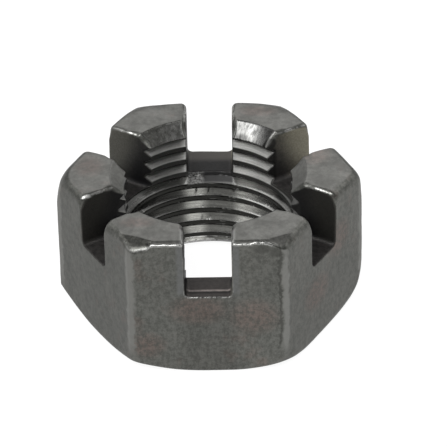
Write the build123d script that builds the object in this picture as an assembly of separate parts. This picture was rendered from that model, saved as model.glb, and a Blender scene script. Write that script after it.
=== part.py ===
from build123d import *
import math
import os

os.makedirs("parts", exist_ok=True)

# Castle nut (slotted hexagon nut), one hot-forged, drilled, tapped and slotted piece.
# Millimetres. Origin on the bore axis, in the plane of the bearing face; +Z points
# from the bearing face to the castellated end. One slot of each pair opens on -Y / +Y.

# --- thread: 1 in, 12 threads per inch -------------------------------------------
PITCH = 25.4 / 12                 # 2.117
MAJOR_R = 25.4 / 2                # thread root radius in the nut
MINOR_R = 23.34 / 2               # drilled bore, the crests of the internal thread

# --- hexagon -----------------------------------------------------------------------
ACROSS_FLATS = 36.5
CORNER_R = 0.8                    # worn forging radius on the six vertical corners
HEIGHT = 21.1                     # bearing face to the top of the prongs

# --- slots -------------------------------------------------------------------------
SLOT_W = 6.45
SLOT_CORNER_R = 0.70              # radius in the two bottom corners of each slot
# The three through cuts are not quite equally deep: height of each floor, with the
# direction in which the cut runs (degrees from +X).
SLOT_FLOORS = ((90.0, 12.50), (30.0, 13.30), (150.0, 12.75))

# --- crown and chamfers --------------------------------------------------------------
CROWN_R = 18.3                    # the top is flat out to here, then chamfered
CROWN_ANGLE = 27.0                # degrees below horizontal
CROWN_BLEND = 3.0                 # radius that eases the flat into the chamfer
BEARING_R = 17.2                  # flat bearing face
BOTTOM_ANGLE = 29.5               # degrees of the bottom chamfer above horizontal
TOP_SINK_R = 13.6                 # mouth of the bore at the prongs, 90 degrees
BOTTOM_SINK_R = 13.55            # mouth of the bore in the bearing face, 90 degrees
PRONG_EDGE_R = 0.6                # broken edges of the prongs

CORNER_RADIUS = ACROSS_FLATS / 2 / math.cos(math.radians(30))
OUT = CORNER_RADIUS + 3.0         # anything outside the hexagon

# --- hexagonal bar with rounded corners --------------------------------------------
hexagon = make_face(
    Polyline(
        [
            (
                CORNER_RADIUS * math.cos(math.radians(60 * i)),
                CORNER_RADIUS * math.sin(math.radians(60 * i)),
            )
            for i in range(6)
        ],
        close=True,
    )
)
hexagon = fillet(hexagon.vertices(), CORNER_R)
bar = extrude(hexagon, HEIGHT)

# --- turned envelope: bearing face, bottom chamfer, crown, bore and its two mouths ---
crown_drop = (OUT - CROWN_R) * math.tan(math.radians(CROWN_ANGLE))
chamfer_rise = (OUT - BEARING_R) * math.tan(math.radians(BOTTOM_ANGLE))
bottom_sink_depth = BOTTOM_SINK_R - MINOR_R
top_sink_depth = TOP_SINK_R - MINOR_R
half_section = Polyline(
    [
        (MINOR_R, 0, bottom_sink_depth),
        (BOTTOM_SINK_R, 0, 0),
        (BEARING_R, 0, 0),
        (OUT, 0, chamfer_rise),
        (OUT, 0, HEIGHT - crown_drop),
        (CROWN_R, 0, HEIGHT),
        (TOP_SINK_R, 0, HEIGHT),
        (MINOR_R, 0, HEIGHT - top_sink_depth),
    ],
    close=True,
)
half_section = make_face(half_section)
crown_point = [
    v
    for v in half_section.vertices()
    if abs(v.X - CROWN_R) < 1e-6 and abs(v.Z - HEIGHT) < 1e-6
]
half_section = fillet(crown_point, CROWN_BLEND)
turned = revolve(half_section, Axis.Z, 360)

nut = bar & turned

# --- three through cuts make the six slots -------------------------------------------
for direction, floor in SLOT_FLOORS:
    tall = HEIGHT + 10 - floor
    cutter = Pos(0, 0, floor + tall / 2) * Box(2 * OUT + 10, SLOT_W, tall)
    low = [
        e
        for e in cutter.edges().filter_by(Axis.X)
        if abs(e.center().Z - floor) < 1e-6
    ]
    cutter = fillet(low, SLOT_CORNER_R)
    nut -= Rot(0, 0, direction) * cutter

# --- broken edges round the top of the prongs ----------------------------------------
lowest_floor = min(f for _, f in SLOT_FLOORS)
top_edges = [
    e
    for e in nut.edges()
    if min(e.start_point().Z, e.end_point().Z) > HEIGHT - 3.2
    and math.hypot(e.center().X, e.center().Y) > TOP_SINK_R - 0.3
    and e.geom_type != GeomType.LINE
    and math.hypot(e.center().X, e.center().Y) > TOP_SINK_R + 2.5
]
print("prong rim edges:", len(top_edges))
try:
    nut = fillet(top_edges, PRONG_EDGE_R)
except Exception as problem:
    print("rim left sharp:", problem)

nut = nut.solid() if hasattr(nut, "solid") else nut
print("volume mm3", round(nut.volume, 1), "valid", nut.is_valid)
box = nut.bounding_box()
print("box", box.min, box.max)
export_step(nut, "parts/castle_nut.step")
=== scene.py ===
import math
import numpy as np
import bpy
import bmesh
from mathutils import Matrix, Vector


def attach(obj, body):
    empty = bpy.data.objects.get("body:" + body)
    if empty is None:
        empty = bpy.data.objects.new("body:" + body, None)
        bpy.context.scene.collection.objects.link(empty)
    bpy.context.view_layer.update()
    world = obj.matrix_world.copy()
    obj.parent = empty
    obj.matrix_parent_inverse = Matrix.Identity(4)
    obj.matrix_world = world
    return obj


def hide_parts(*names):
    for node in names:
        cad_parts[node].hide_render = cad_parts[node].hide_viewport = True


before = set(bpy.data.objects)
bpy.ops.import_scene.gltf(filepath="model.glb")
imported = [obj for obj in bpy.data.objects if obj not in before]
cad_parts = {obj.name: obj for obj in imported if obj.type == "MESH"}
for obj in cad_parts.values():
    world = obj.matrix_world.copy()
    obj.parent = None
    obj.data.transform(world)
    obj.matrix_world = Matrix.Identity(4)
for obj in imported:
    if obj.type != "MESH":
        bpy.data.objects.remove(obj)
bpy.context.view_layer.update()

# ------------------------------------------------------------------ dimensions, mm
AP = 18.25                      # half the width across flats
H = 21.1
PITCH = 25.4 / 12
CREST_R, ROOT_R = 11.67, 12.86
GROOVE_Z = 9.95                 # height of a groove's middle at 90 degrees
SLOT_W = 6.45
FLOORS = {90: 12.50, 30: 13.30, 150: 12.75}
MOUTH_T, MOUTH_B = 13.6, 13.55


def noise(P, seed, wave, n=7):
    """Smooth fixed unevenness, about -1 to 1, with bumps about `wave` mm across."""
    rng = np.random.RandomState(seed)
    out = np.zeros(P.shape[0], np.float64)
    for _ in range(n):
        k = rng.normal(size=3)
        k *= (2 * math.pi / wave) * rng.uniform(0.55, 1.25) / np.linalg.norm(k)
        out += np.sin(P @ k + rng.uniform(0, 2 * math.pi))
    return out / math.sqrt(n) * 0.75


def sstep(a, b, x):
    t = np.clip((x - a) / (b - a), 0, 1)
    return t * t * (3 - 2 * t)


def rmax(a, b, r):
    """Intersection with an edge rounded to radius r."""
    u = np.maximum(a + r, 0)
    v = np.maximum(b + r, 0)
    return np.minimum(-r, np.maximum(a, b)) + np.sqrt(u * u + v * v)


def hexagon(x, y, a):
    """Distance to a regular hexagon with flats at +-90 degrees, half width a."""
    kx, ky, kz = -0.8660254, 0.5, 0.57735027
    px, py = np.abs(x), np.abs(y)
    m = 2 * np.minimum(kx * px + ky * py, 0)
    px = px - m * kx
    py = py - m * ky
    cx = px - np.clip(px, -kz * a, kz * a)
    cy = py - a
    return np.sqrt(cx * cx + cy * cy) * np.sign(cy)


def around(theta, values, width=30.0):
    """A value given at the six corners (0, 60, ... 300 degrees), blended between them."""
    out = np.zeros_like(theta)
    tot = np.zeros_like(theta)
    for i, v in enumerate(values):
        d = np.abs((theta - 60 * i + 180) % 360 - 180)
        w = np.clip(1 - d / 60.0, 0, 1)
        w = w * w * (3 - 2 * w)
        out += w * v
        tot += w
    return out / tot


CORNER_R = (0.25, 0.5, 0.5, 0.3, 1.35, 1.35)
CREASE_R = (19.05, 18.98, 19.15, 19.15, 19.6, 19.6)
CREASE_W = (1.2, 1.3, 1.3, 1.2, 0.45, 0.45)
SLOPE = (0.377, 0.409, 0.425, 0.362, 0.30, 0.30)
SAG = (0.0, 0.075, 0.051, 0.043, 0.01, 0.01)
RIM_R = (1.15, 0.83, 0.77, 1.22, 1.50, 1.50)
CHAMFER_BLEND = (1.3, 0.45, 0.45, 0.3, 0.5, 0.5)
CONE_OUT = (0.55, 0.0, 0.0, 0.0, 0.0, 0.14)   # the bottom chamfer starts further out on the right
TOP_ROUND = (1.7, 0.0, 0.0, 4.3, 0.0, 0.0)   # the right and left corners round off towards the crown
BOTTOM = (0.37, -0.57, 17.70, 0.586)   # cone of the bottom chamfer: centre, radius at the face, slope
LOW_ROUND = (4.0, 0.0, 0.0, 0.0, 0.8, 3.0)   # the front and right corners round off into the bottom chamfer
WIDE = (0.026, 0.016)                   # the forging is a little wide at its right and left corners
# struck facets on the two front corners: direction, distance from the axis
FACETS = ((245.8, 18.59), (293.9, 18.79))


def smax(a, b, k):
    """Blend of two surfaces that meet at a shallow angle."""
    m = np.maximum(k - np.abs(a - b), 0)
    return np.maximum(a, b) + m * m / (4 * k)


def parts_of(P, fine=True):
    """The signed distances (mm, negative inside the metal) of the surfaces that bound the nut."""
    x, y, z = P[:, 0], P[:, 1], P[:, 2]
    r = np.sqrt(x * x + y * y)
    th = np.degrees(np.arctan2(y, x))
    rc = around(th, CORNER_R) + around(th, TOP_ROUND) * np.clip((z - 15.2) / 4.7, 0, 1.3) ** 2 + around(th, LOW_ROUND) * np.clip((6.0 - z) / 4.0, 0, 1.2) ** 2
    side = hexagon(x - WIDE[0] * np.maximum(x - 14, 0) + WIDE[1] * np.maximum(-x - 14, 0), y, AP - rc) - rc
    # crown: flat, then chamfered and sagging towards the corners
    d = r - around(th, CREASE_R)
    w = around(th, CREASE_W)
    slope = around(th, SLOPE)
    ztop = H - slope * 0.5 * (d + np.sqrt(d * d + w * w)) - around(th, SAG) * np.maximum(d, 0) ** 2
    edge_y = sstep(-17.55, -18.05, y) * (y < 0)
    near = sstep(-17.05, -17.45, y) * (y < 0)
    # a thin burr along the front edge, with a shallow groove behind it
    burr = 0.42 * np.exp(-((x - 7.6) / 1.25) ** 2) + 0.10 * np.exp(-((x - 6.6) / 0.5) ** 2)
    burr = burr + 0.07 * (sstep(3.0, 3.5, x) - sstep(6.0, 7.0, x)) + 0.08 * (sstep(-7.9, -7.3, x) - sstep(-3.8, -3.3, x))
    burr = burr + 0.03 * np.sin(4.1 * x) * sstep(7.8, 7.2, np.abs(x))
    dip = 0.16 * (near - edge_y) * (sstep(2.9, 3.6, np.abs(x)) - sstep(7.4, 8.4, np.abs(x)))
    top = (z - ztop - burr * edge_y + dip) * 0.97
    for i, (azm, dist) in enumerate(FACETS):
        a = math.radians(azm)
        ca, sa = math.cos(a), math.sin(a)
        s = np.maximum(x * ca + y * sa - dist, 0)
        t = -x * sa + y * ca
        if i == 0:
            sl = 0.41 * sstep(-4.7, -2.6, t) * sstep(0.60, -0.05, t)
        else:
            sl = 0.20 * sstep(-2.2, -0.8, t) + 0.24 * sstep(0.2, 2.3, t)
        on = np.abs((th - azm + 180) % 360 - 180) < 32
        f = z - (H - sl * s) - burr * edge_y + dip
        top = smax(top, np.where(on, f * 0.93, -9.0), 0.04)
    # bottom chamfer, turned a little off the hexagon's centre
    rb = np.sqrt((x - BOTTOM[0]) ** 2 + (y - BOTTOM[1]) ** 2)
    db = rb - BOTTOM[2] - around(th, CONE_OUT)
    zb = BOTTOM[3] * 0.5 * (db + np.sqrt(db * db + 0.16))
    bottom = (zb - z) * 0.87
    # bore
    u = (z - GROOVE_Z - PITCH * (th - 90) / 360)
    u = np.abs((u / PITCH + 0.5) % 1.0 - 0.5) * PITCH
    vee = (u - (PITCH * 0.375)) * 0.8660254 + (r - CREST_R) * 0.5
    root = CREST_R + (ROOT_R - CREST_R) * sstep(H - (MOUTH_T - CREST_R) + 0.25, H - (MOUTH_T - CREST_R) - 0.75, z)
    groove = np.maximum(vee, r - root)
    air = np.minimum(r - CREST_R, groove)
    # the thread's last turn is broken away under the floor of the front slot
    notch = np.maximum(np.maximum(-13.35 - y, 11.05 - z), np.maximum(np.abs(x) - 3.15, y + 9.0))
    air = np.minimum(air, notch)
    # and trimmed to a plain step under the floor of the back slot
    notch = np.maximum(np.maximum(r - 12.90, 11.92 - z), np.maximum(np.abs(x) - 3.15, 9.0 - y))
    air = np.minimum(air, notch)
    mouth_t = (r - (MOUTH_T + (z - H))) * 0.70710678
    mouth_b = (r - (MOUTH_B - z)) * 0.70710678
    # slots
    slots = []
    for ang, floor in FLOORS.items():
        a = math.radians(ang)
        t = np.abs(-x * math.sin(a) + y * math.cos(a))
        rf = 0.70 if ang != 90 else 0.70 - 0.5 * sstep(15.0, 13.6, r) * (y < 0)
        q1 = t - (SLOT_W / 2 - rf)
        q2 = (floor + rf) - z
        slots.append(np.minimum(np.maximum(q1, q2), 0) + np.sqrt(np.maximum(q1, 0) ** 2 + np.maximum(q2, 0) ** 2) - rf)
    slot = np.minimum(np.minimum(slots[0], slots[1]), slots[2])
    return dict(side=side, top=top, bottom=bottom, air=air, mouth_t=mouth_t, mouth_b=mouth_b, slot=slot, r=r, th=th, u=u)


def sdf(P, fine=True):
    p = parts_of(P, fine)
    z, r, th = P[:, 2], p["r"], p["th"]
    side, top = p["side"], p["top"]
    if fine:
        outer = sstep(13.2, 14.5, r)
        side = side + 0.045 * noise(P, 11, 6.0) + 0.012 * noise(P, 12, 1.9)
        top = top + outer * (0.035 * noise(P, 13, 4.5) + 0.010 * noise(P, 14, 1.6))
    # rim: tight and burred along the front flat, heavily rounded elsewhere
    off = np.abs((th - 270 + 180) % 360 - 180)
    front = np.where(P[:, 0] < 0, sstep(42, 36, off), sstep(34, 28, off))
    soft = np.where(off < 70, 0.85 + 0.65 * sstep(34, 46, off), around(th, RIM_R))
    soft = soft + (around(th, RIM_R) - soft) * sstep(55, 70, off)
    x = P[:, 0]
    tight = 0.30 + 0.45 * sstep(-7.6, -8.6, x) - 0.08 * sstep(3.0, 5.0, x)
    rim = soft + (tight - soft) * front
    body = rmax(side, top, rim)
    body = smax(body, p["bottom"], around(th, CHAMFER_BLEND))
    bore = np.minimum(p["air"], np.minimum(p["mouth_t"], p["mouth_b"]))
    body = rmax(body, -bore, 0.10)
    high = sstep(H - 2.6, H - 0.9, z)
    far = sstep(15.2, 18.0, r) * sstep(14, 26, off)
    inner = sstep(15.2, 14.2, r)
    body = rmax(body, -p["slot"], 0.16 + high * (0.34 + 0.30 * far + 0.40 * inner))
    return body


# ------------------------------------------------------------------ surface net
def surface_net(h):
    lo = np.array([-21.6, -18.9, -0.6])
    hi = np.array([21.6, 18.9, 21.8])
    n = np.ceil((hi - lo) / h).astype(int) + 1
    ax = [lo[i] + h * np.arange(n[i]) for i in range(3)]
    V = np.empty(n, np.float32)
    Y, Z = np.meshgrid(ax[1], ax[2], indexing="ij")
    flat = np.stack([np.zeros(Y.size), Y.ravel(), Z.ravel()], 1)
    block = 8
    for i0 in range(0, n[0], block):
        xs = ax[0][i0:i0 + block]
        P = np.tile(flat, (len(xs), 1))
        P[:, 0] = np.repeat(xs, Y.size)
        V[i0:i0 + block] = sdf(P, False).reshape(len(xs), n[1], n[2])
    S = V < 0
    c = [(a, b, d) for a in (0, 1) for b in (0, 1) for d in (0, 1)]
    m = n - 1
    cnt = np.zeros(m, np.int8)
    for a, b, d in c:
        cnt += S[a:a + m[0], b:b + m[1], d:d + m[2]]
    I, J, K = np.nonzero((cnt > 0) & (cnt < 8))
    index = np.full(m, -1, np.int32)
    index[I, J, K] = np.arange(len(I))
    acc = np.zeros((len(I), 3))
    num = np.zeros(len(I))
    for axis in range(3):
        o = [k for k in range(3) if k != axis]
        for b in (0, 1):
            for d in (0, 1):
                s = [0, 0, 0]
                s[o[0]], s[o[1]] = b, d
                e = list(s)
                e[axis] = 1
                v0 = V[I + s[0], J + s[1], K + s[2]]
                v1 = V[I + e[0], J + e[1], K + e[2]]
                on = (v0 < 0) != (v1 < 0)
                t = np.where(on, v0 / np.where(on, v0 - v1, 1), 0)
                p = np.array(s, float) + np.zeros((len(I), 3))
                p[:, axis] += t
                acc += p * on[:, None]
                num += on
    verts = lo + h * (np.stack([I, J, K], 1) + acc / num[:, None])
    quads = []
    for axis in range(3):
        o = [(axis + 1) % 3, (axis + 2) % 3]
        sl0 = [slice(None)] * 3
        sl1 = [slice(None)] * 3
        sl0[axis], sl1[axis] = slice(0, -1), slice(1, None)
        a, b = S[tuple(sl0)], S[tuple(sl1)]
        E = np.nonzero(a != b)
        inside = a[E]
        e = np.stack(E, 1)
        ok = (e[:, o[0]] > 0) & (e[:, o[1]] > 0)
        e, inside = e[ok], inside[ok]
        q = []
        for du, dv in ((-1, -1), (0, -1), (0, 0), (-1, 0)):
            f = e.copy()
            f[:, o[0]] += du
            f[:, o[1]] += dv
            q.append(index[f[:, 0], f[:, 1], f[:, 2]])
        q = np.stack(q, 1)
        q[~inside] = q[~inside][:, ::-1]
        quads.append(q)
    return verts, np.concatenate(quads)


def gradient(P, e=0.012):
    g = np.empty_like(P)
    for k in range(3):
        A, B = P.copy(), P.copy()
        A[:, k] += e
        B[:, k] -= e
        g[:, k] = (sdf(A) - sdf(B)) / (2 * e)
    return g


def settle(P, rounds, cap):
    for _ in range(rounds):
        f = sdf(P)
        g = gradient(P)
        step = f[:, None] * g / np.maximum((g * g).sum(1), 0.05)[:, None]
        ln = np.linalg.norm(step, axis=1)
        step *= np.minimum(1, cap / np.maximum(ln, 1e-9))[:, None]
        P = P - step
    return P


def make_mesh(name, verts, faces):
    me = bpy.data.meshes.new(name)
    nf, k = faces.shape
    me.vertices.add(len(verts))
    me.vertices.foreach_set("co", verts.astype(np.float32).ravel())
    me.loops.add(nf * k)
    me.loops.foreach_set("vertex_index", faces.astype(np.int32).ravel())
    me.polygons.add(nf)
    me.polygons.foreach_set("loop_start", (np.arange(nf) * k).astype(np.int32))
    me.update(calc_edges=True)
    return me


STEP = 0.19
GOAL = 185000
verts, quads = surface_net(STEP)
verts = settle(verts, 3, 0.25)
raw = make_mesh("raw", verts, quads)
tmp = bpy.data.objects.new("raw", raw)
bpy.context.scene.collection.objects.link(tmp)
tri = tmp.modifiers.new("tri", "TRIANGULATE")
dec = tmp.modifiers.new("dec", "DECIMATE")
dec.ratio = min(1.0, GOAL / (2 * len(quads)))
dec.use_collapse_triangulate = True
dg = bpy.context.evaluated_depsgraph_get()
small = bpy.data.meshes.new_from_object(tmp.evaluated_get(dg))
bpy.data.objects.remove(tmp)
bpy.data.meshes.remove(raw)


def tidy(me, dist):
    """Weld vertices that have all but met and drop faces that have no area."""
    bm = bmesh.new()
    bm.from_mesh(me)
    bmesh.ops.remove_doubles(bm, verts=bm.verts, dist=dist)
    bmesh.ops.dissolve_degenerate(bm, edges=bm.edges, dist=dist)
    bmesh.ops.triangulate(bm, faces=bm.faces)
    bm.to_mesh(me)
    bm.free()


def face_normals(P, F):
    f = np.cross(P[F[:, 1]] - P[F[:, 0]], P[F[:, 2]] - P[F[:, 0]])
    return f / np.maximum(np.linalg.norm(f, axis=1), 1e-12)[:, None]


def unit(G):
    return G / np.maximum(np.linalg.norm(G, axis=1), 1e-9)[:, None]


tidy(small, 0.03)
n = len(small.vertices)
P = np.empty(n * 3, np.float32)
small.vertices.foreach_get("co", P)
P = settle(P.reshape(-1, 3).astype(np.float64), 2, 0.06)
FA = np.empty(len(small.polygons) * 3, np.int32)
small.polygons.foreach_get("vertices", FA)
FA = FA.reshape(-1, 3)
G = unit(gradient(P))
for turn_ in range(5):
    # ease any face that lies folded against the surface
    bad = np.einsum("ij,ij->i", face_normals(P, FA), unit(G[FA].sum(axis=1))) < 0.45
    if not bad.any():
        break
    pick = np.zeros(n, bool)
    pick[FA[bad].ravel()] = True
    total, count = np.zeros((n, 3)), np.zeros(n)
    for i, j in ((0, 1), (1, 2), (2, 0)):
        for u, v in ((i, j), (j, i)):
            np.add.at(total, FA[:, u], P[FA[:, v]])
            np.add.at(count, FA[:, u], 1)
    Q = P.copy()
    Q[pick] = 0.4 * P[pick] + 0.6 * (total / np.maximum(count, 1)[:, None])[pick]
    Q[pick] = settle(Q[pick], 1, 0.05)
    P = Q
    G = unit(gradient(P))
print("visual mesh: grid quads", len(quads), "-> triangles", len(small.polygons), "verts", n)
small.vertices.foreach_set("co", (P * 0.001).astype(np.float32).ravel())
small.update()
small.name = "castle_nut_body"
small.polygons.foreach_set("use_smooth", np.ones(len(small.polygons), bool))
FN = face_normals(P, FA)
CN = G[FA]
short = np.maximum(0.5 - np.einsum("ij,ikj->ik", FN, CN), 0)
CN = CN + 1.6 * short[:, :, None] * FN[:, None, :]
# the thread's crests keep crisp edges
mid = P[FA].mean(axis=1)
crisp = (np.hypot(mid[:, 0], mid[:, 1]) < 13.0) & (mid[:, 2] > 1.0) & (mid[:, 2] < 20.0)
crisp = crisp[:, None] * np.clip((0.92 - np.einsum("ij,ikj->ik", FN, G[FA])) / 0.08, 0, 1)
CN = CN + crisp[:, :, None] * (FN[:, None, :] - CN)
small.normals_split_custom_set(unit(CN.reshape(-1, 3)).astype(np.float32).tolist())

# distances that the finish needs, as plain vertex attributes in mm
p = parts_of(P)


def attribute(name, values):
    a = small.attributes.new(name, "FLOAT", "POINT")
    a.data.foreach_set("value", values.astype(np.float32))


attribute("d_side", -p["side"])
attribute("d_top", -p["top"])
attribute("d_bottom", -p["bottom"])
attribute("d_slot", p["slot"])
attribute("d_bore", np.minimum(p["air"], np.minimum(p["mouth_t"], p["mouth_b"])))
attribute("d_mouth", np.minimum(p["mouth_t"], p["mouth_b"]))
best, along = np.full(n, -1e9), np.zeros(n)
for azm in range(30, 390, 60):
    a = math.radians(azm)
    d = P[:, 0] * math.cos(a) + P[:, 1] * math.sin(a)
    t = -P[:, 0] * math.sin(a) + P[:, 1] * math.cos(a)
    along = np.where(d > best, t, along)
    best = np.maximum(best, d)
left_front = np.where(P[:, 1] < 0, np.where(P[:, 0] < 0, np.where(best + P[:, 1] < 1e-3, 0.35, -0.45), np.where(best + P[:, 1] < 1e-3, 0.32, 0.0)), 0.0)
attribute("d_corner", 10.54 - np.abs(along) + left_front)
off = np.abs((p["th"] - 270 + 180) % 360 - 180)
attribute("front_edge", np.where(P[:, 0] < 0, sstep(40, 34, off), sstep(31, 26, off)))
attribute("up", G[:, 2])

nut = bpy.data.objects.new("castle_nut_body", small)
bpy.context.scene.collection.objects.link(nut)
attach(nut, "root")
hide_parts("castle_nut")


# ------------------------------------------------------------------ node helpers
class Net:
    def __init__(self, tree):
        self.t = tree
        self.n = tree.nodes
        self.l = tree.links

    def put(self, sock, v):
        if isinstance(v, bpy.types.NodeSocket):
            self.l.new(v, sock)
        elif isinstance(v, (tuple, list)) and len(v) == 3 and sock.type == "RGBA":
            sock.default_value = (*v, 1)
        else:
            sock.default_value = v

    def math(self, op, a, b=0.0, c=0.0, clamp=False):
        m = self.n.new("ShaderNodeMath")
        m.operation = op
        m.use_clamp = clamp
        for s, v in zip(m.inputs, (a, b, c)):
            self.put(s, v)
        return m.outputs[0]

    def ramp(self, x, a, b, lo=0.0, hi=1.0, smooth=True):
        m = self.n.new("ShaderNodeMapRange")
        m.interpolation_type = "SMOOTHSTEP" if smooth else "LINEAR"
        for k, v in zip(("Value", "From Min", "From Max", "To Min", "To Max"), (x, a, b, lo, hi)):
            self.put(m.inputs[k], v)
        return m.outputs[0]

    def mix(self, f, a, b, kind="RGBA", blend="MIX"):
        m = self.n.new("ShaderNodeMix")
        m.data_type = kind
        if kind == "RGBA":
            m.blend_type = blend
            i, j, o = 6, 7, 2
        else:
            i, j, o = 2, 3, 0
        self.put(m.inputs[0], f)
        self.put(m.inputs[i], a)
        self.put(m.inputs[j], b)
        return m.outputs[o]

    def noise(self, vec, scale, detail=4.0, rough=0.55, dist=0.0):
        m = self.n.new("ShaderNodeTexNoise")
        self.put(m.inputs["Vector"], vec)
        m.inputs["Scale"].default_value = scale
        m.inputs["Detail"].default_value = detail
        m.inputs["Roughness"].default_value = rough
        m.inputs["Distortion"].default_value = dist
        return m.outputs["Fac"]

    def attr(self, name):
        m = self.n.new("ShaderNodeAttribute")
        m.attribute_name = name
        return m.outputs["Fac"]

    def scaled(self, vec, s):
        m = self.n.new("ShaderNodeMapping")
        self.put(m.inputs["Vector"], vec)
        m.inputs["Scale"].default_value = s
        return m.outputs[0]


# ------------------------------------------------------------------ dark forged steel
mat = bpy.data.materials.new("dark_forged_steel")
mat.use_nodes = True
N = Net(mat.node_tree)
bsdf = mat.node_tree.nodes["Principled BSDF"]
co = N.n.new("ShaderNodeTexCoord").outputs["Object"]
mm = N.scaled(co, (1000, 1000, 1000))          # object coordinates in mm
tall = N.scaled(co, (1000, 1000, 260))          # stretched upwards

d_slot, d_bore, d_side, d_top = (N.attr(k) for k in ("d_slot", "d_bore", "d_side", "d_top"))
d_mouth, d_corner, front_edge, up_z = (N.attr(k) for k in ("d_mouth", "d_corner", "front_edge", "up"))
upness = N.math("ABSOLUTE", up_z)

grain = N.noise(mm, 1.3, 5, 0.62)
fine = N.noise(mm, 4.5, 4, 0.6)
streak = N.noise(tall, 2.2, 5, 0.62)
patch = N.noise(mm, 0.17, 3, 0.5)
rust = N.noise(mm, 0.30, 4, 0.6)
blot = N.noise(mm, 1.6, 5, 0.66)

xyz = N.n.new("ShaderNodeSeparateXYZ")
N.put(xyz.inputs[0], mm)
OX, OY, OZ = xyz.outputs
turn = N.math("ARCTAN2", OY, OX)
rad = N.math("SQRT", N.math("ADD", N.math("MULTIPLY", OX, OX), N.math("MULTIPLY", OY, OY)))
depth = N.math("DIVIDE", N.math("SUBTRACT", rad, CREST_R), ROOT_R - CREST_R)   # 0 on a crest, 1 at a root


def mul(*v):
    out = v[0]
    for w in v[1:]:
        out = N.math("MULTIPLY", out, w)
    return out


def vec(a, b, c):
    m = N.n.new("ShaderNodeCombineXYZ")
    for sck, v in zip(m.inputs, (a, b, c)):
        N.put(sck, v)
    return m.outputs[0]


around_bore = vec(N.math("MULTIPLY", turn, 3.0), N.math("MULTIPLY", rad, 5.0), N.math("MULTIPLY", OZ, 5.0))   # tool marks run round the bore
chatter = N.noise(vec(N.math("MULTIPLY", turn, 30.0), N.math("MULTIPLY", rad, 0.9), N.math("MULTIPLY", OZ, 0.9)), 1.0, 3, 0.6)
lathe = N.noise(around_bore, 1.0, 3, 0.55)

cut_slot = N.ramp(d_slot, 0.16, 0.04)
cut_bore = N.ramp(d_bore, 0.12, 0.03)
cut_mouth = mul(cut_bore, N.ramp(d_mouth, 0.10, 0.02))
cut = N.math("MAXIMUM", cut_slot, cut_bore)


def edge(a, b, wide, thin, breakup=0.35):
    """Strip where two surfaces meet, worn and painted light: both distances small."""
    m = N.ramp(N.math("MAXIMUM", a, b), wide, thin)
    return mul(m, N.ramp(grain, breakup, breakup + 0.22))


def spot(x, y, z, rx, ry, rz, soft=0.15):
    """A soft patch about a point of the nut, in mm."""
    q = [N.math("POWER", N.math("ABSOLUTE", N.math("DIVIDE", N.math("SUBTRACT", c, v), w)), 2.0) for c, v, w in ((OX, x, rx), (OY, y, ry), (OZ, z, rz))]
    return N.ramp(N.math("ADD", N.math("ADD", q[0], q[1]), q[2]), 1.0, soft)


# forged skin: dark scale, mottled, with faint upright streaks and brown bloom
mottle = N.math("ADD", N.math("ADD", N.math("MULTIPLY", streak, 0.25), N.math("MULTIPLY", blot, 0.48)), N.math("MULTIPLY", fine, 0.27))
forged = N.mix(N.ramp(mottle, 0.40, 0.60), (0.078, 0.079, 0.072), (0.130, 0.130, 0.120))
brown = mul(N.ramp(rust, 0.56, 0.72), 0.30)
for at in ((-1.6, -18.25, 10.4, 5.0, 3, 3.0), (6.2, -18.25, 9.2, 4.2, 3, 3.6), (-8.6, -18.25, 4.6, 3.2, 3, 2.6), (14.5, -10.8, 8.0, 4.2, 4, 3.4), (17.5, -5.5, 13.6, 3.4, 4, 3.6),
           (-16.5, 1.5, 21, 2.6, 3.2, 1.5), (-9.5, -12.6, 21, 3.0, 1.6, 1.5), (14.6, 3.6, 21, 3.0, 3.0, 1.5), (7.0, 15.3, 21, 3.4, 1.8, 1.5)):
    brown = N.math("MAXIMUM", brown, mul(spot(*at, soft=0.0), N.ramp(blot, 0.30, 0.62, 0.15, 0.62)))
forged = N.mix(brown, forged, N.mix(1.0, forged, (1.22, 0.90, 0.86), blend="MULTIPLY"))
forged = N.mix(N.ramp(patch, 0.40, 0.60), N.mix(1.0, forged, (0.92, 0.93, 0.93), blend="MULTIPLY"), forged)
# the scale is a little lighter to either side of the front flat than in its middle
tone = N.mix(N.ramp(OX, 2.5, 5.5), N.mix(N.ramp(OX, -2.5, -5.0), 0.91, 1.07, "FLOAT"), 1.14, "FLOAT")
tone = N.mix(mul(N.ramp(OY, -17.2, -17.9), N.ramp(OZ, 14.0, 10.5)), 1.0, tone, "FLOAT")
tone = mul(tone, N.mix(mul(N.ramp(OX, -10.3, -11.6), N.ramp(OY, -17.6, -16.6), N.ramp(OY, 2.0, 0.0)), 1.0, 0.93, "FLOAT"))
tone = mul(tone, N.mix(mul(N.ramp(OX, 10.3, 11.6), N.ramp(OY, -17.6, -16.6), N.ramp(OY, 2.0, 0.0), N.ramp(OZ, 9.0, 13.0)), 1.0, 1.07, "FLOAT"))
forged = N.mix(1.0, forged, vec(tone, tone, tone), blend="MULTIPLY")
# upward faces are painted lighter than the flats, as painted light from above over the crown's own browner tint
crown = N.ramp(up_z, 0.86, 0.97)
top_tint = N.mix(N.ramp(N.math("ADD", N.math("MULTIPLY", blot, 0.6), N.math("MULTIPLY", rust, 0.4)), 0.35, 0.65), (0.160, 0.160, 0.150), (0.215, 0.213, 0.203))
cloud = N.noise(mm, 0.42, 4, 0.62)
shade_t = mul(N.ramp(cloud, 0.32, 0.68, 0.80, 1.20), N.ramp(fine, 0.3, 0.7, 0.95, 1.05), N.ramp(OX, 1.0, 8.0, 1.0, 1.08))
top_tint = N.mix(1.0, top_tint, vec(shade_t, shade_t, shade_t), blend="MULTIPLY")
forged = N.mix(mul(crown, 0.75), forged, N.mix(mul(brown, 0.8), top_tint, N.mix(1.0, top_tint, (1.16, 0.95, 0.92), blend="MULTIPLY")))
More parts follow.
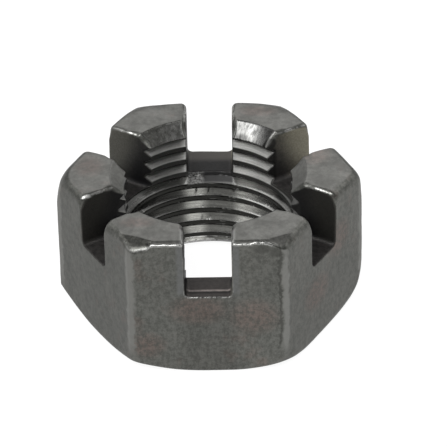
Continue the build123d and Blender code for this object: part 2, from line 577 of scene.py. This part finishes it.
# corners painted lighter along their rounding as a painted highlight, with a painted shade line where the right one
# meets the front flat
uneven = N.noise(mm, 0.75, 3, 0.6)
wavy = N.math("ADD", N.math("MULTIPLY", N.math("SUBTRACT", blot, 0.5), 0.8), N.math("MULTIPLY", N.math("SUBTRACT", uneven, 0.5), 1.5))
d_c = N.math("ADD", d_corner, wavy)
corner_highlight = mul(N.ramp(d_c, 1.05, 0.50), N.ramp(upness, 0.5, 0.2), N.ramp(grain, 0.2, 0.6, 0.72, 1.0), N.ramp(OZ, 2.2, 4.8, 0.25, 1.0))
forged = N.mix(mul(corner_highlight, 0.9), forged, N.mix(N.ramp(OX, -3.0, 3.0), (0.172, 0.172, 0.162), (0.186, 0.186, 0.176)))
corner_line_shade = mul(N.ramp(N.math("ABSOLUTE", N.math("SUBTRACT", d_c, 1.15)), 0.30, 0.05), N.ramp(OX, 2.0, 4.0), N.ramp(OY, -17.2, -17.9), N.ramp(OZ, 3.0, 5.0))
forged = N.mix(mul(corner_line_shade, 0.62), forged, (0.048, 0.048, 0.044))
# the struck facet on the front left corner is painted darker, as painted shade of the dark overhead it faces
lens = N.math("ADD", N.math("MULTIPLY", OX, -0.4099), N.math("MULTIPLY", OY, -0.9121))
lens_t = N.math("ADD", N.math("MULTIPLY", OX, 0.9121), N.math("MULTIPLY", OY, -0.4099))
lens = mul(N.ramp(lens, 18.52, 18.74), N.ramp(lens_t, -4.8, -4.2), N.ramp(lens_t, 0.5, 0.1), N.ramp(up_z, 0.74, 0.84))
forged = N.mix(mul(lens, 0.9), forged, N.mix(N.ramp(mottle, 0.40, 0.60), (0.062, 0.062, 0.056), (0.112, 0.112, 0.103)))
# rubbed strips beside the front slot, and painted shade of small dents under the burr
beside = mul(N.ramp(d_slot, 1.25, 0.75), N.ramp(OY, -17.0, -17.9), N.ramp(OZ, 12.2, 13.6), N.ramp(blot, 0.2, 0.6, 0.5, 1.0))
forged = N.mix(mul(beside, 0.7), forged, (0.130, 0.133, 0.133))
# painted shade under the burr
under = N.math("MAXIMUM", spot(7.3, -18.25, 20.2, 1.7, 1.5, 0.85), spot(9.2, -18.25, 19.6, 1.2, 1.5, 0.8))
forged = N.mix(mul(under, N.ramp(up_z, 0.35, 0.15), 0.6), forged, (0.056, 0.056, 0.051))
# sawn slots, brownish, with painted light and shade: walls lit at the back, shaded at the front and deeper in, floors
# darker inwards
side_slot = N.ramp(N.math("ABSOLUTE", OX), 3.3, 3.9)
upface = N.ramp(up_z, 0.6, 0.9)
slot_wall = N.mix(N.ramp(fine, 0.3, 0.7), (0.100, 0.097, 0.090), (0.140, 0.135, 0.126))
lit = N.mix(N.ramp(OY, -1.5, 1.5), N.mix(N.ramp(OX, -3.0, 3.0), (0.17, 0.17, 0.17), (0.155, 0.155, 0.155)), N.mix(N.ramp(OX, -3.0, 3.0), (0.35, 0.35, 0.34), (0.98, 0.95, 0.83)))
lit = N.mix(mul(N.ramp(OY, -13.0, -14.0), N.ramp(OX, 2.6, 3.0), N.ramp(OX, 3.8, 3.5)), lit, (0.85, 0.86, 0.86))
out_up = N.math("ADD", N.math("MULTIPLY", N.ramp(rad, 12.6, 17.6), 1.25), N.math("MULTIPLY", N.ramp(OZ, 13.0, 20.0), 0.75))
shade = N.ramp(N.math("ADD", out_up, N.math("MULTIPLY", blot, 0.6)), 0.5, 2.0, 0.30, 1.55)
slot_wall = N.mix(1.0, N.mix(1.0, slot_wall, lit, blend="MULTIPLY"), vec(shade, shade, N.math("POWER", shade, 0.85)), blend="MULTIPLY")
slot_floor = N.mix(N.ramp(blot, 0.35, 0.65), (0.042, 0.0375, 0.035), (0.058, 0.051, 0.048))
# the back slot's floor is painted darker towards the bore: painted shade
slot_back = N.mix(N.ramp(OY, 15.0, 16.6), N.mix(N.ramp(blot, 0.3, 0.7), (0.013, 0.013, 0.013), (0.025, 0.024, 0.024)), (0.088, 0.082, 0.076))
slot_floor = N.mix(N.ramp(OY, 8.0, 9.0), slot_floor, slot_back)
slot_floor = N.mix(side_slot, slot_floor, N.mix(N.ramp(blot, 0.35, 0.65), (0.030, 0.0285, 0.0275), (0.055, 0.052, 0.050)))
slotc = N.mix(upface, slot_wall, slot_floor)
front_slot = mul(upface, N.ramp(OY, -14, -15), N.math("SUBTRACT", 1.0, side_slot))
# painted highlight: a bright line across the front slot's floor where a low ridge would catch the light
floor_ridge_highlight = mul(N.ramp(N.math("ABSOLUTE", N.math("ADD", OY, 16.64)), 0.30, 0.10), front_slot)
slotc = N.mix(mul(floor_ridge_highlight, N.ramp(blot, 0.3, 0.6, 0.4, 0.9)), slotc, (0.29, 0.255, 0.24))
# painted shade along the inner edge of the front slot's floor
slotc = N.mix(mul(front_slot, N.ramp(OY, -14.8, -14.2), 0.75), slotc, (0.020, 0.020, 0.020))
# painted shade: a dark line across the front slot's floor, in front of the ridge
floor_line_shade = mul(N.ramp(N.math("ABSOLUTE", N.math("ADD", OY, 17.15)), 0.30, 0.10), front_slot)
slotc = N.mix(mul(floor_line_shade, 0.8), slotc, (0.014, 0.0125, 0.012))
# slot walls next to the bore painted dark: painted shade that hides their edge highlight
slotc = N.mix(mul(N.ramp(d_bore, 0.45, 0.15), N.math("SUBTRACT", 1.0, upface)), slotc, (0.018, 0.018, 0.017))
# tapped thread and countersunk mouths: bare steel, with painted shade on the crests and in the roots
deg = N.math("MULTIPLY", turn, 57.29578)                         # 90 behind, -90 in front


def lobe(mid, half, soft):
    return N.ramp(N.math("ABSOLUTE", N.math("SUBTRACT", deg, mid)), half + soft, half)


# flanks: painted highlights in two bright runs, duller between, on the left and far round
flank_sheen = N.mix(N.ramp(deg, 104, 112), 0.36, 0.25, "FLOAT")
flank_sheen = N.mix(N.ramp(deg, 72, 62), flank_sheen, 0.54, "FLOAT")
flank_sheen = N.mix(lobe(100, 2.0, 8.0), flank_sheen, 0.66, "FLOAT")
flank_sheen = N.mix(lobe(66, 3.0, 8.0), flank_sheen, 0.66, "FLOAT")
flank_sheen = N.mix(N.ramp(deg, 50, 34), flank_sheen, 0.16, "FLOAT")
flank_sheen = N.mix(N.ramp(deg, 140, 154), flank_sheen, 0.16, "FLOAT")
prongs = N.ramp(OZ, 11.6, 12.8)
flank_sheen = mul(flank_sheen, N.ramp(lathe, 0.3, 0.7, 0.80, 1.18), N.ramp(fine, 0.3, 0.7, 0.92, 1.08), N.mix(prongs, 1.0, N.ramp(OX, -3.0, 3.0, 1.05, 0.72), "FLOAT"))
bore_steel_and_sheen = vec(flank_sheen, flank_sheen, N.math("MULTIPLY", flank_sheen, 0.965))
crest_root_shade = N.math("MAXIMUM", N.ramp(depth, 0.14, 0.05), N.ramp(depth, 0.86, 1.0))
crest_root_shade = mul(crest_root_shade, N.ramp(d_mouth, 0.02, 0.10), N.ramp(OZ, 1.9, 2.4))
bore_steel_and_sheen = N.mix(crest_root_shade, bore_steel_and_sheen, (0.024, 0.024, 0.022))
# chatter-marked steel whose colour changes round the bore as painted light and shade, darkest at the right and by the
# right slot's edge
mouthc = N.mix(N.ramp(chatter, 0.30, 0.60), (0.085, 0.085, 0.083), (0.185, 0.185, 0.180))
mouthc = N.mix(N.ramp(OX, 6.3, 8.3), mouthc, N.mix(N.ramp(blot, 0.38, 0.62), (0.072, 0.072, 0.070), (0.108, 0.108, 0.105)))
mouthc = N.mix(mul(N.ramp(d_slot, 1.0, 0.6), N.ramp(OX, 6.2, 6.9), N.ramp(OZ, 20.7, 20.1)), mouthc, (0.040, 0.040, 0.039))
mouth_l = N.mix(N.ramp(OX, -8.0, -3.6), N.mix(N.ramp(blot, 0.38, 0.62), (0.085, 0.085, 0.078), (0.165, 0.165, 0.155)), N.mix(N.ramp(blot, 0.38, 0.62), (0.16, 0.16, 0.15), (0.33, 0.33, 0.32)))
# painted highlight: the back right mouth brightened along the key's reflection, dimmed near its top edge
mouth_sheen = N.mix(mul(N.ramp(OX, 5.0, 6.0), N.ramp(OX, 8.6, 7.0)), 0.80, 1.60, "FLOAT")
mouth_sheen = mul(mouth_sheen, N.mix(mul(N.ramp(OZ, 20.0, 19.4), N.ramp(OX, 6.4, 4.8)), 1.0, 0.42, "FLOAT"))
mouthc = N.mix(1.0, mouthc, vec(mouth_sheen, mouth_sheen, mouth_sheen), blend="MULTIPLY")
mouthc = N.mix(N.ramp(OX, 2.0, -2.0), mouthc, mouth_l)
sides = mul(N.ramp(N.math("ABSOLUTE", OX), 9.6, 11.2), prongs)      # the prongs at the left and right
mouth_s = N.mix(N.ramp(OX, -3.0, 3.0), N.mix(N.ramp(blot, 0.38, 0.62), (0.150, 0.150, 0.140), (0.200, 0.200, 0.188)), N.mix(N.ramp(blot, 0.38, 0.62), (0.110, 0.110, 0.103), (0.150, 0.150, 0.141)))
mouthc = N.mix(sides, mouthc, mouth_s)
bore_steel_and_sheen = N.mix(N.ramp(d_mouth, 0.08, 0.02), bore_steel_and_sheen, mouthc)
# thread ends painted dark as painted shade that hides their edge highlight, lighter on the left prong
tooth = mul(cut_bore, N.ramp(d_slot, 0.20, 0.06), N.ramp(d_mouth, 0.02, 0.10))          # ends of the thread at the slots
bore_steel_and_sheen = N.mix(tooth, bore_steel_and_sheen, N.mix(mul(sides, N.ramp(OX, 3.0, -3.0)), (0.030, 0.030, 0.027), (0.190, 0.188, 0.175)))
lip_b = mul(N.ramp(OZ, 11.2, 11.5), N.ramp(OY, 8.0, 9.0), N.ramp(N.math("ABSOLUTE", OX), 3.5, 3.0), N.ramp(OZ, 13.6, 13.2))   # edge of the back slot's floor
# painted highlight: the left part of that edge painted light, as on the bright flank run
lip_c = N.mix(mul(N.ramp(OX, -0.6, -1.4), N.ramp(fine, 0.35, 0.6)), (0.080, 0.080, 0.080), (0.34, 0.34, 0.33))
bore_steel_and_sheen = N.mix(lip_b, bore_steel_and_sheen, lip_c)

col = N.mix(cut_slot, forged, slotc)
col = N.mix(cut_bore, col, bore_steel_and_sheen)
# worn edges painted light as a painted highlight along the front rim, the slots' top edges and the side corners
front_worn_sheen = mul(edge(d_side, d_top, 0.42, 0.10, 0.22), front_edge)
front_worn_sheen = mul(front_worn_sheen, N.ramp(OX, 9.4, 8.2), N.ramp(OX, -11.6, -10.7), N.mix(N.ramp(OX, 4.2, 4.8), 1.0, N.ramp(fine, 0.36, 0.56, 0.15, 1.0), "FLOAT"))
worn_edge_sheen = N.math("MAXIMUM", front_worn_sheen, mul(edge(d_slot, d_top, 0.45, 0.10, 0.36), N.ramp(OY, -13.0, -11.5)))
worn_edge_sheen = N.math("MAXIMUM", worn_edge_sheen, mul(edge(d_side, d_slot, 0.26, 0.05, 0.40), N.math("MULTIPLY", front_edge, N.ramp(OZ, 13.2, 13.8, 0.8, 0.22))))
worn_edge_sheen = mul(worn_edge_sheen, N.ramp(d_mouth, 0.0, 0.25))
# painted highlight: a soft lighter band on the rounded rims beside the front slot
soft_rim = mul(N.ramp(N.math("MAXIMUM", d_slot, d_top), 0.75, 0.25), N.ramp(OY, -12.6, -13.4), N.ramp(N.math("ABSOLUTE", OX), 4.4, 3.9), N.ramp(up_z, 0.15, 0.40))
col = N.mix(mul(soft_rim, 0.6), col, (0.33, 0.33, 0.32))
col = N.mix(worn_edge_sheen, col, (0.46, 0.46, 0.445))
corner_glint = mul(spot(-17.0, -6.2, 20.6, 1.5, 1.3, 1.1, soft=0.3), N.ramp(N.math("MAXIMUM", d_slot, d_top), 0.62, 0.25), N.ramp(grain, 0.25, 0.45))   # painted highlight on the rubbed corner of the left prong
col = N.mix(corner_glint, col, (0.80, 0.80, 0.78))
rim = spot(8.5, 8.7, 19.6, 1.3, 1.1, 1.1, soft=0.45)                                    # painted shade dulling the rim, back right
col = N.mix(mul(rim, N.ramp(d_slot, 1.0, 0.7), 0.92), col, (0.022, 0.022, 0.021))
N.put(bsdf.inputs["Base Color"], col)
slot_only = mul(cut_slot, N.math("SUBTRACT", 1.0, N.math("MAXIMUM", worn_edge_sheen, cut_bore)))
in_thread = mul(cut_bore, prongs, N.math("MAXIMUM", sides, N.ramp(d_mouth, 0.03, 0.10)), N.math("SUBTRACT", 1.0, lip_b))
metal = N.mix(in_thread, N.mix(slot_only, 1.0, 0.55, "FLOAT"), 0.60, "FLOAT")
N.put(bsdf.inputs["Metallic"], metal)
bsdf.inputs["Specular Tint"].default_value = (0.75, 0.75, 0.75, 1)
rough = N.mix(cut_slot, N.ramp(mottle, 0.3, 0.7, 0.32, 0.42), 0.5, "FLOAT")
rough = N.mix(cut_bore, rough, N.ramp(fine, 0.2, 0.8, 0.17, 0.24), "FLOAT")
rough = N.mix(cut_mouth, rough, N.ramp(chatter, 0.3, 0.7, 0.30, 0.20), "FLOAT")
rough = N.mix(N.math("MAXIMUM", tooth, mul(lip_b, cut_bore)), rough, 0.5, "FLOAT")
rough = N.mix(in_thread, rough, 0.50, "FLOAT")
rough = N.mix(worn_edge_sheen, rough, 0.24, "FLOAT")
rough = N.mix(corner_glint, rough, 0.38, "FLOAT")
N.put(bsdf.inputs["Roughness"], rough)
bump = N.n.new("ShaderNodeBump")
bump.inputs["Strength"].default_value = 0.5
bump.inputs["Distance"].default_value = 0.00004
skin = N.math("ADD", N.math("ADD", N.math("MULTIPLY", streak, 0.45), N.math("MULTIPLY", blot, 0.5)), N.math("MULTIPLY", fine, 0.6))
turned = N.math("ADD", N.math("MULTIPLY", lathe, 0.2), mul(chatter, N.ramp(OX, -2.0, 2.0, 0.06, 0.6), cut_mouth, prongs))
N.put(bump.inputs["Height"], N.mix(cut_bore, skin, turned, "FLOAT"))
N.put(bsdf.inputs["Normal"], bump.outputs[0])
small.materials.clear()
small.materials.append(mat)

# ------------------------------------------------------------------ floor
bpy.ops.mesh.primitive_plane_add(size=2.4, location=(0, 0, 0))
floor = bpy.context.object
floor.name = "floor"
fm = bpy.data.materials.new("pale_floor")
fm.use_nodes = True
F = Net(fm.node_tree)
fb = fm.node_tree.nodes["Principled BSDF"]
fb.inputs["Base Color"].default_value = (0.16, 0.16, 0.16, 1)
fb.inputs["Roughness"].default_value = 1.0
fb.inputs["Specular IOR Level"].default_value = 0.0
fb.inputs["Emission Color"].default_value = (1, 1, 1, 1)
fb.inputs["Emission Strength"].default_value = 0.93
geo = F.n.new("ShaderNodeNewGeometry")
clear = F.n.new("ShaderNodeBsdfTransparent")
pick = F.n.new("ShaderNodeMixShader")
F.l.new(geo.outputs["Backfacing"], pick.inputs[0])
F.l.new(fb.outputs[0], pick.inputs[1])
F.l.new(clear.outputs[0], pick.inputs[2])
F.l.new(pick.outputs[0], fm.node_tree.nodes["Material Output"].inputs[0])
floor.data.materials.append(fm)

# ------------------------------------------------------------------ studio: soft boxes in a grey room
world = bpy.data.worlds.new("studio")
bpy.context.scene.world = world
world.use_nodes = True
W = Net(world.node_tree)
bg = world.node_tree.nodes["Background"]
gen = W.n.new("ShaderNodeTexCoord").outputs["Generated"]
sep = W.n.new("ShaderNodeSeparateXYZ")
W.put(sep.inputs[0], gen)
X, Y, Z = sep.outputs
el = W.math("DEGREES", W.math("ARCSINE", Z))
az = W.math("DEGREES", W.math("ARCTAN2", X, W.math("MULTIPLY", Y, -1.0)))   # 0 in front, + to the right
back = W.math("DEGREES", W.math("ARCTAN2", X, Y))                            # 0 behind, + to the right


def box(a, a0, a1, asoft, e0, e1, esoft, power):
    f = W.math("MULTIPLY", W.ramp(a, a0 - asoft, a0 + asoft), W.ramp(a, a1 + asoft, a1 - asoft))
    g = W.math("MULTIPLY", W.ramp(el, e0 - esoft, e0 + esoft), W.ramp(el, e1 + esoft, e1 - esoft))
    return W.math("MULTIPLY", W.math("MULTIPLY", f, g), power)



def strip(x0, x1, xs, y0, y1, ys, power):
    """A long soft light overhead, in direction cosines."""
    f = W.math("MULTIPLY", W.ramp(X, x0 - xs, x0 + xs), W.ramp(X, x1 + xs, x1 - xs))
    g = W.math("MULTIPLY", W.ramp(Y, y0 - ys, y0 + ys), W.ramp(Y, y1 + ys, y1 - ys))
    h = W.ramp(Z, 0.3, 0.5)
    return W.math("MULTIPLY", W.math("MULTIPLY", W.math("MULTIPLY", f, g), h), power)


front_side = W.ramp(Y, -0.25, 0.25, 1.0, 0.0)
behind = W.ramp(W.math("ABSOLUTE", back), 60, 42, 0.80, 0.10)
low = W.mix(front_side, W.mix(W.ramp(el, 2, 8), 0.80, behind, "FLOAT"), W.ramp(el, 4, 22, 0.80, 0.22), "FLOAT")
light = W.math("ADD", low, W.math("MULTIPLY", W.math("MULTIPLY", front_side, W.ramp(el, 30, 60)), 0.10))
light = W.math("ADD", light, box(back, -78, 78, 20, 20, 46, 9, 1.45))       # backdrop
light = W.math("ADD", light, box(az, -68, 6, 7, 41, 60, 4, 6.5))            # key, front left
light = W.math("ADD", light, box(az, -66, -38, 5, 31, 36, 4, 6.5))
light = W.math("ADD", light, box(az, 58, 66, 4, 35, 41, 3, 3.5))            # small one, front right
light = W.math("ADD", light, strip(0.08, 0.26, 0.04, -0.35, 0.10, 0.06, 0.7))
light = W.math("ADD", light, strip(-0.56, -0.26, 0.05, -0.30, 0.20, 0.06, 0.7))
W.put(bg.inputs["Strength"], light)
bg.inputs["Color"].default_value = (1, 1, 1, 1)

# ------------------------------------------------------------------ camera
el_c, az_c, roll = (math.radians(v) for v in (34.2553, 1.2167, 1.5005))
fwd = Vector((-math.sin(az_c) * math.cos(el_c), math.cos(az_c) * math.cos(el_c), -math.sin(el_c)))
rt = Vector((math.cos(az_c), math.sin(az_c), 0))
up = rt.cross(fwd)
right = rt * math.cos(roll) - up * math.sin(roll)
upv = rt * math.sin(roll) + up * math.cos(roll)
S = 0.0365
loc = Vector((0, 0, 0.25 * S)) - fwd * (14.3272 * S)
F_PX = 260.866 * 14.3272
axis = (fwd * F_PX + right * 13.545 + upv * 18.5).normalized()
xr = axis.cross(upv).normalized()
yu = xr.cross(axis)
cam = bpy.data.objects.new("camera", bpy.data.cameras.new("camera"))
cam.matrix_world = Matrix(((xr.x, yu.x, -axis.x, loc.x), (xr.y, yu.y, -axis.y, loc.y), (xr.z, yu.z, -axis.z, loc.z), (0, 0, 0, 1)))
cam.data.sensor_width = 36
cam.data.lens = F_PX / 447 * 36
cam.data.clip_start, cam.data.clip_end = 0.01, 10
bpy.context.scene.collection.objects.link(cam)
bpy.context.scene.camera = cam
bpy.context.scene.view_settings.view_transform = "Standard"
